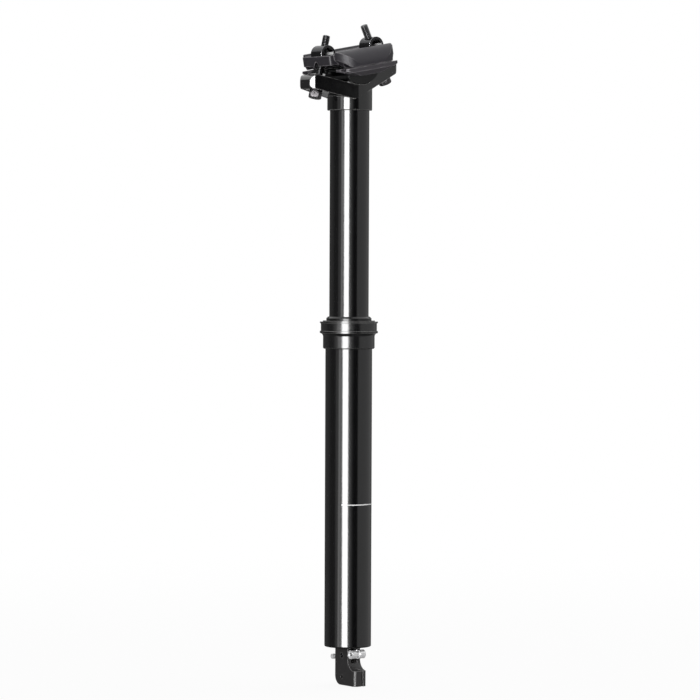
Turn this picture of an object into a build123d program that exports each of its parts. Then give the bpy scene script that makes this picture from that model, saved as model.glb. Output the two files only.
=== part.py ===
from build123d import *
import os
from math import cos, radians, sin, sqrt, tan

# A dropper seatpost. +X points to the front of the bicycle, +Y to its left and +Z up the post.
# The origin is on the post's axis where the outer tube's sliding fit ends, under the collar.
# Lengths are in millimetres and angles in degrees.

# Fits shared by several pieces
running_gap = 0.05
seal_gap = 0.15
thread_gap = 0.02
soft_gap = 0.3
overrun = 1.0

# Outer tube
tube_diameter = 30.9
tube_wall = 1.5
tube_tail = 26.8
tube_edge_round = 0.8
spigot_step = 0.6
spigot_length = 8.6
groove_width = 3.3
groove_depth = 0.75

# Stanchion and travel
stanchion_diameter = 26.0
stanchion_wall = 1.7
travel = 125.0
drop_stop_gap = 10.5
stanchion_overlap = 45.0
stanchion_in_head = 9.6

# Collar, from its lower face up
collar_skirt_wall = 2.2
collar_skirt_height = 7.8
collar_edge = 0.6
flare_height = 2.5
flare_rise_share = 0.67
flare_reach_share = 0.25
flange_lip = 0.65
lower_flange_thickness = 1.4
band_step = 1.35
band_height = 5.2
upper_flange_thickness = 1.0
shoulder_wall = 1.35
shoulder_height = 0.7
collar_throat_gap = 0.6
wiper_flange_step = 0.9
wiper_seat_depth = 4.4

# Wiper, inner seal and slide bearings
wiper_lip_thickness = 1.9
wiper_lip_height = 2.6
wiper_lip_band = 1.1
seal_ring_width = 2.2
seal_ring_thickness = 1.8
bushing_length = 19.0
bumper_height = 2.4
guide_ring_height = 10.0
key_count = 3
key_length = 14.0
key_width = 3.1
key_pocket_depth = 0.9
key_reach = 0.6
key_round_share = 0.45

# Cartridge
cartridge_diameter = 18.0
cartridge_wall = 1.5
cartridge_top = 17.0
gland_flange_height = 3.0
gland_depth = 12.0
rod_diameter = 8.0
rod_stud_diameter = 6.0
plug_height = 8.0
rod_nut_flats = 10.0
rod_nut_height = 5.0
piston_height = 9.0
piston_gap_to_gland = 6.0
piston_groove_depth = 1.4
piston_groove_height = 3.0
base_flange_height = 5.0
base_plug_height = 12.0
stem_diameter = 10.0
valve_pin_diameter = 3.0
valve_foot_diameter = 4.4
valve_foot_height = 1.4
valve_pin_in_base = 14.0

# Bottom cap and the hook's flange
cap_thickness = 8.0
cap_pocket_depth = 3.4
lock_nut_flats = 13.0
o_ring_lift = 5.0
o_ring_depth = 1.2
o_ring_width = 2.2
hook_flange_diameter = 27.2
hook_flange_thickness = 3.5
hook_flange_recess = 0.4
screw_reach = 10.6
screw_diameter = 3.0
screw_head_diameter = 5.4
screw_head_height = 1.9
screw_socket_flats = 2.1
screw_socket_depth = 1.2
screw_depth = 5.0

# Hook
hook_thickness = 10.0
hook_arm_width = 14.4
hook_length = 25.4
hook_toe_length = 8.0
hook_toe_height = 10.2
hook_throat_radius = 7.0
hook_corner_round = 6.0
hook_side_round = 2.4
housing_bore_diameter = 5.2
housing_bore_depth = 5.6
housing_reach = 10.0
cable_hole_diameter = 2.2
cable_slit_width = 1.2
lever_slot_width = 5.0
lever_slot_drop = 11.6
cross_hole_diameter = 2.4
cross_hole_lift = 5.4

# Release lever, its pin and the cable anchor
lever_pivot_drop = 5.9
lever_pivot_reach = 0.4
lever_width = 4.4
lever_hub_radius = 2.3
lever_rise = 8.0
lever_arm = 10.2
lever_tail_arm = 11.6
lever_end_radius = 2.9
lever_tail_radius = 1.7
cable_way_lead = 1.8
lever_end_width = 10.6
lever_tail_width = 9.6
cam_arm = 1.8
cam_lift = 1.9
cam_nose_radius = 1.0
pivot_diameter = 2.4
pivot_head_diameter = 3.6
pivot_head_depth = 1.2
pivot_socket_flats = 2.0
anchor_diameter = 3.8
anchor_length = 9.6
anchor_cable_diameter = 1.8
anchor_screw_diameter = 2.0
anchor_screw_length = 3.2

# Seat head: its frame stands at the middle of the saddle rails and leans with the bicycle's seat tube
head_tilt = 10.0
rail_lift = 29.65
rail_lead = 0.3
sleeve_diameter = 29.6
sleeve_edge = 0.5
head_floor = 2.2
front_arm_thickness = 9.4
rear_arm_thickness = 7.7
arm_width = 16.2
front_arm_overhang = 8.8
rear_arm_overhang = 6.8
arm_lower_round = 2.4
front_arm_upper_round = 4.6
rear_arm_upper_round = 1.2
arm_corner_cut = 2.5
seat_radius = 16.0
seat_lift = 3.2
neck_blend = 5.0
neck_blend_share = 0.6

# Saddle rails and their clamp, in the head's frame
rail_diameter = 7.0
rail_spacing = 44.0
clamp_split = 0.2
clamp_length = 45.0
clamp_corner_round = 13.0
wing_margin = 6.0
wing_height = 11.2
wing_side_height = 0.8
wing_root = 33.0
front_lead_length = 6.5
front_lead_height = 6.2
rear_lead_length = 2.6
rear_lead_height = 2.2
deck_height = 9.7
deck_underside = 3.3
deck_rib_width = 1.0
nose_end = 6.5
nose_width = 32.0
nose_round = 2.0
cradle_length = 42.0
cradle_margin = 5.4
cradle_tip_thickness = 1.4
cradle_side_thickness = 2.8
cradle_side_inset = 3.6
cradle_corner_round = 3.5
cradle_depth = 6.2
cradle_foot_length = 16.0
cradle_boss_width = 28.0
cradle_boss_length = 23.0
cradle_window_width = 22.0
cradle_window_length = 16.0
cradle_window_depth = 3.2
cradle_notch_width = 7.0
cradle_notch_depth = 4.0

# Clamp bolts: each leans in towards the top, square to the arm below it
front_bolt_lean = 22.9
rear_bolt_lean = 15.2
front_bolt_grip = 24.9
rear_bolt_grip = 22.8
bolt_length = 37.4
bolt_reach = 19.6
nut_lift = 10.5
bolt_diameter = 5.0
bolt_head_diameter = 8.5
bolt_head_height = 5.0
bolt_socket_flats = 4.0
bolt_socket_depth = 2.6
bolt_point = 0.6
bolt_hole_diameter = 6.0
nut_diameter = 11.4
nut_bore = 8.0
nut_length = 12.0
nut_bolt_gap = 0.32
washer_radius = 4.6
washer_length = 10.6
nose_slot_length = 8.4
nose_slot_width = 6.2

# Places worked out from the sizes above
tube_bore = tube_diameter - tube_wall * 2
spigot_diameter = tube_diameter - spigot_step * 2
groove_diameter = tube_bore + groove_depth * 2
stanchion_bore = stanchion_diameter - stanchion_wall * 2
wiper_lip_diameter = stanchion_diameter + wiper_lip_thickness * 2
wiper_seat_diameter = wiper_lip_diameter + wiper_flange_step * 2
seal_ring_diameter = stanchion_diameter + seal_ring_thickness * 2
collar_throat_diameter = stanchion_diameter + collar_throat_gap * 2
collar_diameter = spigot_diameter + collar_skirt_wall * 2
shoulder_diameter = wiper_seat_diameter + shoulder_wall * 2
band_diameter = shoulder_diameter + band_step * 2
flange_diameter = band_diameter + flange_lip * 2
cartridge_bore = cartridge_diameter - cartridge_wall * 2
hook_reach = hook_arm_width / 2 + hook_toe_length
clamp_width = rail_spacing + wing_margin * 2
wing_round = wing_height - wing_side_height
deck_recess_width = wing_root - deck_rib_width * 2
cradle_width = rail_spacing + cradle_margin * 2
nose_length = (bolt_reach + nose_end) * 2
tube_length = stanchion_overlap + travel + tube_tail
shown_stanchion = travel + drop_stop_gap
tube_r = tube_diameter / 2
tube_bore_r = tube_bore / 2
stanchion_r = stanchion_diameter / 2
collar_flange_low = collar_skirt_height + flare_height
collar_band_low = collar_flange_low + lower_flange_thickness
collar_band_top = collar_band_low + band_height
collar_flange_top = collar_band_top + upper_flange_thickness
collar_top = collar_flange_top + shoulder_height
wiper_top = collar_top + wiper_lip_height
wiper_seat = collar_top - wiper_seat_depth
sleeve_low = wiper_top + shown_stanchion
stanchion_top = sleeve_low + stanchion_in_head
rail_height = sleeve_low + rail_lift
tube_low = -tube_length
hook_flange_low = tube_low + hook_flange_recess
cap_low = hook_flange_low + hook_flange_thickness
cap_top = cap_low + cap_thickness
bumper_low = spigot_length - bushing_length - bumper_height
key_top = bumper_low - soft_gap
guide_ring_low = -stanchion_overlap
gland_low = cartridge_top - gland_depth
piston_top = gland_low - piston_gap_to_gland
plug_top = stanchion_top - rod_nut_height - sleeve_edge
plug_low = plug_top - plug_height
pivot_z = tube_low - lever_pivot_drop
hook_low = tube_low - hook_length
clamp_frame = Pos(rail_lead, 0, rail_height) * Rot(0, head_tilt, 0)

CENTRED_LOW = (Align.CENTER, Align.CENTER, Align.MIN)
UPRIGHT = Plane(origin=(0, 0, 0), x_dir=(1, 0, 0), z_dir=(0, -1, 0))


def rod(radius, z_low, z_high):
    """A round bar on the post's axis between two heights."""
    return Pos(0, 0, z_low) * Cylinder(radius, z_high - z_low, align=CENTRED_LOW)


def ring(outer_radius, inner_radius, z_low, z_high):
    """A tube on the post's axis between two heights."""
    return rod(outer_radius, z_low, z_high) - rod(inner_radius, z_low - overrun, z_high + overrun)


def turned(points):
    """A solid of revolution about the post's axis from (radius, height) points."""
    outline = make_face(Polyline(*[(r, 0, z) for r, z in points], close=True))
    return revolve(outline, axis=Axis.Z)


def crossbar(radius, length, along="Y"):
    """A round bar centred on the origin along X or Y."""
    turn = Rot(90, 0, 0) if along == "Y" else Rot(0, 90, 0)
    return turn * Cylinder(radius, length)


def side_profile(points, width):
    """Extrude an outline of (x, z) points both ways along Y to a whole width."""
    face = make_face(Polyline(*[(x, 0, z) for x, z in points], close=True))
    return extrude(face, amount=width / 2, dir=(0, 1, 0), both=True)


def front_profile(points, length):
    """Extrude an outline of (y, z) points both ways along X to a whole length."""
    face = make_face(Polyline(*[(0, y, z) for y, z in points], close=True))
    return extrude(face, amount=length / 2, dir=(1, 0, 0), both=True)


def hex_bar(flats, z_low, z_high):
    """A hexagonal bar on the local Z axis between two heights."""
    section = RegularPolygon(flats / 2, 6, major_radius=False)
    return Pos(0, 0, z_low) * extrude(section, amount=z_high - z_low)


def bolt_lean(side):
    """How far the front bolt (side 1) or the rear one (side -1) leans in, in the head's frame."""
    return front_bolt_lean if side > 0 else rear_bolt_lean


def bolt_grip(side):
    """The length of a bolt from its seat under the arm to the middle of its nut."""
    return front_bolt_grip if side > 0 else rear_bolt_grip


def bolt_place(side):
    """The frame of one clamp bolt: at its barrel nut, local Z up the bolt, local X out along the arm."""
    place = clamp_frame * Pos(side * bolt_reach, 0, nut_lift)
    facing = Rot(0, 0, 0) if side > 0 else Rot(0, 0, 180)
    return place * facing * Rot(0, -bolt_lean(side), 0)


def arm_line(side, rise):
    """A line along one arm, a height over its bolt's seat, in the part's frame: a point and a slope."""
    lean, tilt = radians(bolt_lean(side)), radians(head_tilt)
    down = bolt_grip(side) - rise
    x = side * (bolt_reach + down * sin(lean))
    z = nut_lift - down * cos(lean)
    slope = tan(side * lean - tilt)
    return rail_lead + x * cos(tilt) + z * sin(tilt), rail_height - x * sin(tilt) + z * cos(tilt), slope


def arm_height(side, rise, x):
    """The height of an arm's line where it passes a place on X."""
    start_x, start_z, slope = arm_line(side, rise)
    return start_z + slope * (x - start_x)


def arms_meeting(front_rise, rear_rise):
    """Where the front arm's line and the rear arm's meet, each a height over its seat, as (x, z)."""
    front_x, front_z, front_slope = arm_line(1, front_rise)
    rear_x, rear_z, rear_slope = arm_line(-1, rear_rise)
    gap = rear_z - front_z + front_slope * front_x - rear_slope * rear_x
    x = gap / (front_slope - rear_slope)
    return (x, arm_height(1, front_rise, x))


def arm_tip(side):
    """Where an arm ends on X, past its bolt."""
    overhang = front_arm_overhang if side > 0 else -rear_arm_overhang
    return arm_line(side, 0)[0] + overhang


def make_outer_tube():
    body = ring(tube_r, tube_bore_r, tube_low, 0)
    rim = body.faces().sort_by(Axis.Z)[0].edges().sort_by(SortBy.LENGTH)[-1]
    body = fillet(rim, tube_edge_round)
    body += ring(spigot_diameter / 2, tube_bore_r, 0, spigot_length)
    groove = Pos((tube_bore_r + groove_diameter / 2) / 2, 0, (tube_low + bumper_low) / 2) * Box(
        groove_diameter / 2 - tube_bore_r + overrun, groove_width, bumper_low - tube_low + overrun
    )
    track = rod(groove_diameter / 2, tube_low - overrun, bumper_low)
    for turn in range(key_count):
        body -= (Rot(0, 0, turn * 360 / key_count) * groove) & track
    return body


def make_seal_collar():
    skirt_r = collar_diameter / 2
    flange_r = flange_diameter / 2
    band_r = band_diameter / 2
    shoulder_r = shoulder_diameter / 2
    spigot_r = spigot_diameter / 2 + thread_gap
    throat_r = collar_throat_diameter / 2
    seat_r = wiper_seat_diameter / 2
    flare_r = skirt_r + (flange_r - skirt_r) * flare_reach_share
    flare = ThreePointArc(
        (skirt_r, 0, collar_skirt_height),
        (flare_r, 0, collar_skirt_height + flare_height * flare_rise_share),
        (flange_r, 0, collar_flange_low),
    )
    outside = Polyline(
        (flange_r, 0, collar_flange_low),
        (flange_r, 0, collar_band_low),
        (band_r, 0, collar_band_low),
        (band_r, 0, collar_band_top),
        (flange_r, 0, collar_band_top),
        (flange_r, 0, collar_flange_top),
        (shoulder_r, 0, collar_flange_top),
        (shoulder_r, 0, collar_top),
        (seat_r, 0, collar_top),
        (seat_r, 0, wiper_seat),
        (throat_r, 0, wiper_seat),
        (throat_r, 0, spigot_length),
        (spigot_r, 0, spigot_length),
        (spigot_r, 0, 0),
        (skirt_r - collar_edge, 0, 0),
        (skirt_r, 0, collar_edge),
        (skirt_r, 0, collar_skirt_height),
    )
    body = revolve(make_face(Wire([flare, *outside.edges()])), axis=Axis.Z)
    seal_low = spigot_length + (wiper_seat - spigot_length - seal_ring_width) / 2
    return body - ring(seal_ring_diameter / 2, throat_r - overrun, seal_low, seal_low + seal_ring_width)


def make_wiper_seal():
    lip_r = stanchion_r + seal_gap
    seat_r = wiper_seat_diameter / 2
    outer_r = wiper_lip_diameter / 2
    relief_r = lip_r + wiper_lip_band
    return turned(
        [
            (lip_r, wiper_seat),
            (seat_r, wiper_seat),
            (seat_r, collar_top),
            (outer_r, collar_top),
            (outer_r, wiper_top - wiper_lip_band),
            (lip_r + wiper_lip_band / 2, wiper_top),
            (lip_r, wiper_top),
            (lip_r, wiper_top - wiper_lip_band),
            (relief_r, collar_top),
            (relief_r, wiper_seat + wiper_lip_band * 2),
            (lip_r, wiper_seat + wiper_lip_band),
        ]
    )


def make_inner_seal():
    seal_low = spigot_length + (wiper_seat - spigot_length - seal_ring_width) / 2
    return ring(
        seal_ring_diameter / 2, stanchion_r + seal_gap, seal_low, seal_low + seal_ring_width
    )


def make_upper_bushing():
    body = ring(
        tube_bore_r, stanchion_r + running_gap, spigot_length - bushing_length, spigot_length
    )
    split = Pos(-tube_bore_r, 0, spigot_length - bushing_length / 2) * Box(
        tube_bore_r, overrun, bushing_length + overrun
    )
    return body - split


def make_top_out_bumper():
    return ring(
        tube_bore_r, stanchion_r + soft_gap, bumper_low, spigot_length - bushing_length
    )


def key_place(turn):
    """The middle of one guide key on the stanchion's wall."""
    return Rot(0, 0, turn * 360 / key_count) * Pos(0, 0, key_top - key_length / 2)


def make_guide_keys():
    inner_r = stanchion_r - key_pocket_depth
    outer_r = tube_bore_r + key_reach
    bar = Pos((inner_r + outer_r) / 2, 0, 0) * Box(outer_r - inner_r, key_width, key_length)
    upright = bar.edges().filter_by(Axis.X)
    bar = fillet(upright, key_width * key_round_share)
    return [key_place(turn) * bar for turn in range(key_count)]


def make_stanchion_tube():
    body = ring(stanchion_r, stanchion_bore / 2, -stanchion_overlap, stanchion_top)
    inner_r = stanchion_r - key_pocket_depth
    depth = key_pocket_depth + overrun
    pocket = Pos(inner_r + depth / 2, 0, 0) * Box(depth, key_width, key_length)
    pocket = fillet(pocket.edges().filter_by(Axis.X), key_width * key_round_share)
    for turn in range(key_count):
        body -= key_place(turn) * pocket
    return body


def make_lower_guide_ring():
    return ring(
        tube_bore_r - running_gap, stanchion_r, guide_ring_low, guide_ring_low + guide_ring_height
    )


def make_cartridge_body():
    return ring(cartridge_diameter / 2, cartridge_bore / 2, cap_top + base_flange_height, cartridge_top)


def make_cartridge_gland():
    body = rod(cartridge_bore / 2, gland_low, cartridge_top)
    body += rod(cartridge_diameter / 2, cartridge_top, cartridge_top + gland_flange_height)
    gland_top = cartridge_top + gland_flange_height
    return body - rod(rod_diameter / 2 + running_gap, gland_low - overrun, gland_top + overrun)


def make_cartridge_base():
    body = rod(cartridge_diameter / 2, cap_top, cap_top + base_flange_height)
    plug_seat = cap_top + base_flange_height
    body += rod(cartridge_bore / 2, plug_seat, plug_seat + base_plug_height)
    body += rod(stem_diameter / 2, cap_low + soft_gap, cap_top)
    valve_r = valve_pin_diameter / 2 + running_gap
    passage = rod(valve_r, cap_low - overrun, plug_seat + base_plug_height + overrun)
    return body - passage


def make_cartridge_lock_nut():
    nut_top = cap_low + cap_pocket_depth
    body = hex_bar(lock_nut_flats, cap_low + soft_gap * 2, nut_top)
    return body - rod(stem_diameter / 2, cap_low - overrun, nut_top + overrun)


def make_bottom_cap():
    body = ring(tube_bore_r, stem_diameter / 2, cap_low, cap_top)
    pocket_r = lock_nut_flats / sqrt(3) + soft_gap
    body -= rod(pocket_r, cap_low - overrun, cap_low + cap_pocket_depth)
    groove_low = cap_low + o_ring_lift - o_ring_width / 2
    body -= ring(tube_bore_r + overrun, tube_bore_r - o_ring_depth, groove_low, groove_low + o_ring_width)
    screw_hole = rod(screw_diameter / 2, cap_low - overrun, cap_low + screw_depth)
    for side in (1, -1):
        body -= Pos(side * screw_reach, 0, 0) * screw_hole
    return body


def make_cap_o_ring():
    groove_low = cap_low + o_ring_lift - o_ring_width / 2
    return ring(tube_bore_r, tube_bore_r - o_ring_depth, groove_low, groove_low + o_ring_width)


def make_piston_rod():
    body = rod(rod_diameter / 2, piston_top - piston_height, plug_low)
    body += rod(rod_stud_diameter / 2, plug_low, plug_top + rod_nut_height)
    return body


def make_piston():
    body = ring(cartridge_bore / 2 - running_gap, rod_diameter / 2, piston_top - piston_height, piston_top)
    middle = piston_top - piston_height / 2
    groove_r = cartridge_bore / 2 - piston_groove_depth
    half = piston_groove_height / 2
    return body - ring(cartridge_bore / 2 + overrun, groove_r, middle - half, middle + half)


def make_piston_seal():
    middle = piston_top - piston_height / 2
    groove_r = cartridge_bore / 2 - piston_groove_depth
    half = piston_groove_height / 2
    return ring(cartridge_bore / 2 - seal_gap, groove_r, middle - half, middle + half)


def make_rod_plug():
    return ring(stanchion_bore / 2, rod_stud_diameter / 2, plug_low, plug_top)


def make_rod_nut():
    body = hex_bar(rod_nut_flats, plug_top, plug_top + rod_nut_height)
    return body - rod(rod_stud_diameter / 2, plug_top - overrun, plug_top + rod_nut_height + overrun)


def make_valve_pin():
    foot_low = pivot_z + cam_lift + cam_nose_radius + running_gap
    body = rod(valve_pin_diameter / 2, foot_low, cap_top + valve_pin_in_base)
    return body + rod(valve_foot_diameter / 2, foot_low, foot_low + valve_foot_height)


def hook_side_view():
    """The hook seen along X: arm, rounded heel, toe and the round throat over the toe."""
    half = hook_arm_width / 2
    toe_top = hook_low + hook_toe_height
    outline = Polyline(
        (0, -half, hook_flange_low),
        (0, -half, hook_low),
        (0, hook_reach, hook_low),
        (0, hook_reach, toe_top),
        (0, half, toe_top),
        (0, half, hook_flange_low),
        close=True,
    )
    return extrude(make_face(outline), amount=hook_thickness / 2, dir=(1, 0, 0), both=True)


def make_cable_stop_hook():
    half = hook_arm_width / 2
    toe_top = hook_low + hook_toe_height
    body = hook_side_view()
    heel = body.edges().filter_by(Axis.X).sort_by_distance((0, -half, hook_low))[0]
    body = fillet([heel], hook_corner_round)
    throat = body.edges().filter_by(Axis.X).sort_by_distance((0, half, toe_top))[0]
    body = fillet([throat], hook_throat_radius)
    toe_end = body.faces().sort_by(Axis.Y)[-1]
    body = fillet(toe_end.edges().filter_by(Axis.Z), hook_side_round)
    body += rod(hook_flange_diameter / 2, hook_flange_low, cap_low)
    body -= Pos(0, 0, hook_flange_low - lever_slot_drop / 2 + hook_flange_recess) * Box(
        lever_slot_width, hook_flange_diameter, lever_slot_drop - hook_flange_recess
    )
    body -= rod(valve_pin_diameter / 2 + soft_gap, hook_flange_low - overrun, cap_low + overrun)
    body -= Pos(0, lever_pivot_reach, pivot_z) * crossbar(pivot_diameter / 2, hook_thickness + overrun, "X")
    head_seat = Pos(hook_thickness / 2, lever_pivot_reach, pivot_z) * crossbar(
        pivot_head_diameter / 2, pivot_head_depth * 2, "X"
    )
    body -= head_seat
    body -= Pos(0, lever_pivot_reach, hook_low + cross_hole_lift) * crossbar(
        cross_hole_diameter / 2, hook_thickness + overrun, "X"
    )
    housing_top = hook_low + housing_bore_depth
    body -= Pos(0, housing_reach, 0) * rod(housing_bore_diameter / 2, hook_low - overrun, housing_top)
    body -= Pos(0, housing_reach, 0) * rod(cable_hole_diameter / 2, hook_low - overrun, toe_top + overrun)
    slit_x = -cable_hole_diameter / 2
    body -= Pos(slit_x, (housing_reach + hook_reach + overrun) / 2, hook_low + hook_toe_height / 2) * Box(
        cable_slit_width, hook_reach + overrun - housing_reach, hook_toe_height + overrun
    )
    head_seat_top = hook_flange_low + screw_head_height
    for side in (1, -1):
        place = Pos(side * screw_reach, 0, 0)
        body -= place * rod(screw_diameter / 2, hook_flange_low - overrun, cap_low + overrun)
        body -= place * rod(screw_head_diameter / 2, hook_flange_low - overrun, head_seat_top)
    return body


def make_bracket_screws():
    screws = []
    for side in (1, -1):
        place = Pos(side * screw_reach, 0, 0)
        shank = rod(screw_diameter / 2, hook_flange_low + screw_head_height, cap_low + screw_depth)
        head = rod(screw_head_diameter / 2, hook_flange_low, hook_flange_low + screw_head_height)
        socket = hex_bar(screw_socket_flats, hook_flange_low - overrun, hook_flange_low + screw_socket_depth)
        screws.append(place * (shank + head - socket))
    return screws


def lever_frame():
    """The rocker's frame: at its pivot, local Y along the rocker to the cable, which it rises to."""
    return Pos(0, lever_pivot_reach, pivot_z) * Rot(lever_rise, 0, 0)


def lever_blade():
    """The rocker's plate seen along X: hub, two tapering arms and the cam nose under the valve pin."""
    hub = Circle(lever_hub_radius)
    front = Pos(lever_arm, 0) * Circle(lever_end_radius)
    tail = Pos(-lever_tail_arm, 0) * Circle(lever_tail_radius)
    outline = make_hull((hub + front).edges()) + make_hull((hub + tail).edges())
    plane = Plane(origin=(0, 0, 0), x_dir=(0, 1, 0), z_dir=(1, 0, 0))
    return extrude(plane * outline, amount=lever_width / 2, both=True)


def make_release_lever():
    blade = lever_blade()
    blade += Pos(0, lever_arm, 0) * crossbar(lever_end_radius, lever_end_width, "X")
    blade += Pos(0, -lever_tail_arm, 0) * crossbar(lever_tail_radius, lever_tail_width, "X")
    level = Rot(-lever_rise, 0, 0)
    nose = Pos(0, -cam_arm, cam_lift) * crossbar(cam_nose_radius, lever_width, "X")
    blade += level * nose
    through = lever_end_width + overrun
    blade -= crossbar(pivot_diameter / 2 + running_gap, through, "X")
    blade -= Pos(0, lever_arm, 0) * crossbar(anchor_diameter / 2 + running_gap, through, "X")
    cable_way = Box(anchor_cable_diameter + soft_gap * 2, lever_end_radius * 2, lever_end_radius * 4)
    blade -= Pos(0, lever_arm + cable_way_lead, 0) * cable_way
    return lever_frame() * blade


def make_lever_pivot_pin():
    half = hook_thickness / 2
    pin = crossbar(pivot_diameter / 2, hook_thickness, "X")
    head = Pos(half - pivot_head_depth / 2, 0, 0) * crossbar(pivot_head_diameter / 2, pivot_head_depth, "X")
    socket = Pos(half, 0, 0) * (Rot(0, 90, 0) * hex_bar(pivot_socket_flats, -pivot_head_depth, overrun))
    return Pos(0, lever_pivot_reach, pivot_z) * (pin + head - socket)


def anchor_frame():
    """The cable anchor's frame: on the rocker's far eye, upright with the cable."""
    return lever_frame() * Pos(0, lever_arm, 0) * Rot(-lever_rise, 0, 0)


def make_cable_anchor():
    body = crossbar(anchor_diameter / 2, anchor_length, "X")
    body -= Cylinder(anchor_cable_diameter / 2, anchor_diameter * 2)
    bore = Pos(anchor_length / 2, 0, 0) * crossbar(anchor_screw_diameter / 2, anchor_length, "X")
    return anchor_frame() * (body - bore)


def make_anchor_screw():
    body = crossbar(anchor_screw_diameter / 2, anchor_screw_length, "X")
    place = Pos(anchor_length / 2 - anchor_screw_length / 2, 0, 0)
    socket = Rot(0, 90, 0) * hex_bar(anchor_screw_diameter / 2, 0, anchor_screw_length)
    return anchor_frame() * place * (body - socket)


def head_side_view():
    """The head seen along Y: two arms that rise outwards from the neck and end upright."""
    front, rear = arm_tip(1), arm_tip(-1)
    front_top = (front, arm_height(1, front_arm_thickness, front))
    rear_top = (rear, arm_height(-1, rear_arm_thickness, rear))
    front_low = (front, arm_height(1, 0, front))
    rear_low = (rear, arm_height(-1, 0, rear))
    tops = arms_meeting(front_arm_thickness, rear_arm_thickness)
    face = make_face(Polyline(tops, front_top, front_low, arms_meeting(0, 0), rear_low, rear_top, close=True))
    for corner, radius in (
        (front_low, arm_lower_round),
        (rear_low, arm_lower_round),
        (front_top, front_arm_upper_round),
        (rear_top, rear_arm_upper_round),
    ):
        face = fillet(face.vertices().sort_by_distance(corner)[0], radius)
    return face


def neck_cove(side):
    """The round blend between the sleeve and one arm's underside, as a ring half before trimming."""
    sleeve_r = sleeve_diameter / 2
    low = arm_height(side, 0, side * sleeve_r) - neck_blend * neck_blend_share
    top = arm_height(side, 0, side * (sleeve_r + neck_blend)) + sleeve_edge
    turn = neck_blend * sqrt(0.5)
    arc = ThreePointArc(
        (sleeve_r, 0, low),
        (sleeve_r + neck_blend - turn, 0, low + turn),
        (sleeve_r + neck_blend, 0, low + neck_blend),
    )
    rest = Polyline(
        (sleeve_r + neck_blend, 0, low + neck_blend),
        (sleeve_r + neck_blend, 0, top + neck_blend),
        (sleeve_r - neck_blend, 0, top + neck_blend),
        (sleeve_r - neck_blend, 0, low),
        (sleeve_r, 0, low),
    )
    ring_half = revolve(make_face(Wire([arc, *rest.edges()])), axis=Axis.Z)
    return ring_half & Pos(side * rail_lift, 0, low) * Box(rail_lift * 2, rail_lift * 2, rail_lift * 2)


def make_seat_head():
    arms = extrude(UPRIGHT * head_side_view(), amount=sleeve_diameter / 2, both=True)
    front_tip, rear_tip = arm_tip(1), arm_tip(-1)
    ends = Rectangle(front_tip - rear_tip, arm_width)
    ends = Pos((front_tip + rear_tip) / 2, 0) * chamfer(ends.vertices(), arm_corner_cut)
    plan = make_hull((Circle(sleeve_diameter / 2) + ends).edges())
    column = Pos(0, 0, sleeve_low) * extrude(plan, amount=rail_lift * 2)
    arms &= column
    sleeve_top = rail_height - seat_lift - seat_radius / 2
    neck = rod(sleeve_diameter / 2, sleeve_low, sleeve_top)
    body = arms + neck
    for side in (1, -1):
        body += neck_cove(side) & column
    seat = clamp_frame * Pos(0, 0, seat_lift) * crossbar(seat_radius, sleeve_diameter + overrun)
    body -= seat
    rim = body.edges().filter_by(GeomType.CIRCLE).sort_by(Axis.Z)[0]
    body = chamfer(rim, sleeve_edge)
    body -= rod(stanchion_r, sleeve_low - overrun, stanchion_top)
    body -= rod(stanchion_bore / 2, sleeve_low, stanchion_top + head_floor)
    for side in (1, -1):
        place = bolt_place(side)
        grip = bolt_grip(side)
        body -= place * rod(bolt_hole_diameter / 2, -grip - overrun, 0)
        groove = Pos(0, 0, -grip) * crossbar(washer_radius + running_gap, washer_length + soft_gap)
        body -= place * groove
    return body


def make_lower_cradle():
    half_long = cradle_length / 2
    half_foot = cradle_foot_length / 2
    long_view = side_profile(
        [
            (-half_long, -clamp_split),
            (-half_long, -clamp_split - cradle_tip_thickness),
            (-half_foot, -cradle_depth),
            (half_foot, -cradle_depth),
            (half_long, -clamp_split - cradle_tip_thickness),
            (half_long, -clamp_split),
        ],
        cradle_width,
    )
    half_wide = cradle_width / 2
    end_view = front_profile(
        [
            (-half_wide, -clamp_split),
            (-half_wide, -clamp_split - cradle_side_thickness),
            (-half_wide + cradle_side_inset, -cradle_depth),
            (half_wide - cradle_side_inset, -cradle_depth),
            (half_wide, -clamp_split - cradle_side_thickness),
            (half_wide, -clamp_split),
        ],
        cradle_length,
    )
    plan = RectangleRounded(cradle_length, cradle_width, cradle_corner_round)
    body = long_view & end_view & Pos(0, 0, -cradle_depth) * extrude(plan, amount=cradle_depth)
    drum = Pos(0, 0, seat_lift) * crossbar(seat_radius - running_gap, cradle_boss_width)
    window = Box(cradle_boss_length, cradle_boss_width, seat_radius * 2)
    body += drum & (Pos(0, 0, -clamp_split - seat_radius) * window)
    for side in (1, -1):
        body -= Pos(0, side * rail_spacing / 2, 0) * crossbar(rail_diameter / 2, cradle_length + overrun, "X")
        notch_x = side * (half_long - cradle_notch_depth / 2 + overrun / 2)
        body -= Pos(notch_x, 0, -cradle_depth / 2) * Box(
            cradle_notch_depth + overrun, cradle_notch_width, cradle_depth + overrun
        )
    body -= Pos(0, 0, -clamp_split - cradle_window_depth / 2 + overrun / 2) * Box(
        cradle_window_length, cradle_window_width, cradle_window_depth + overrun
    )
    return clamp_frame * body


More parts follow.
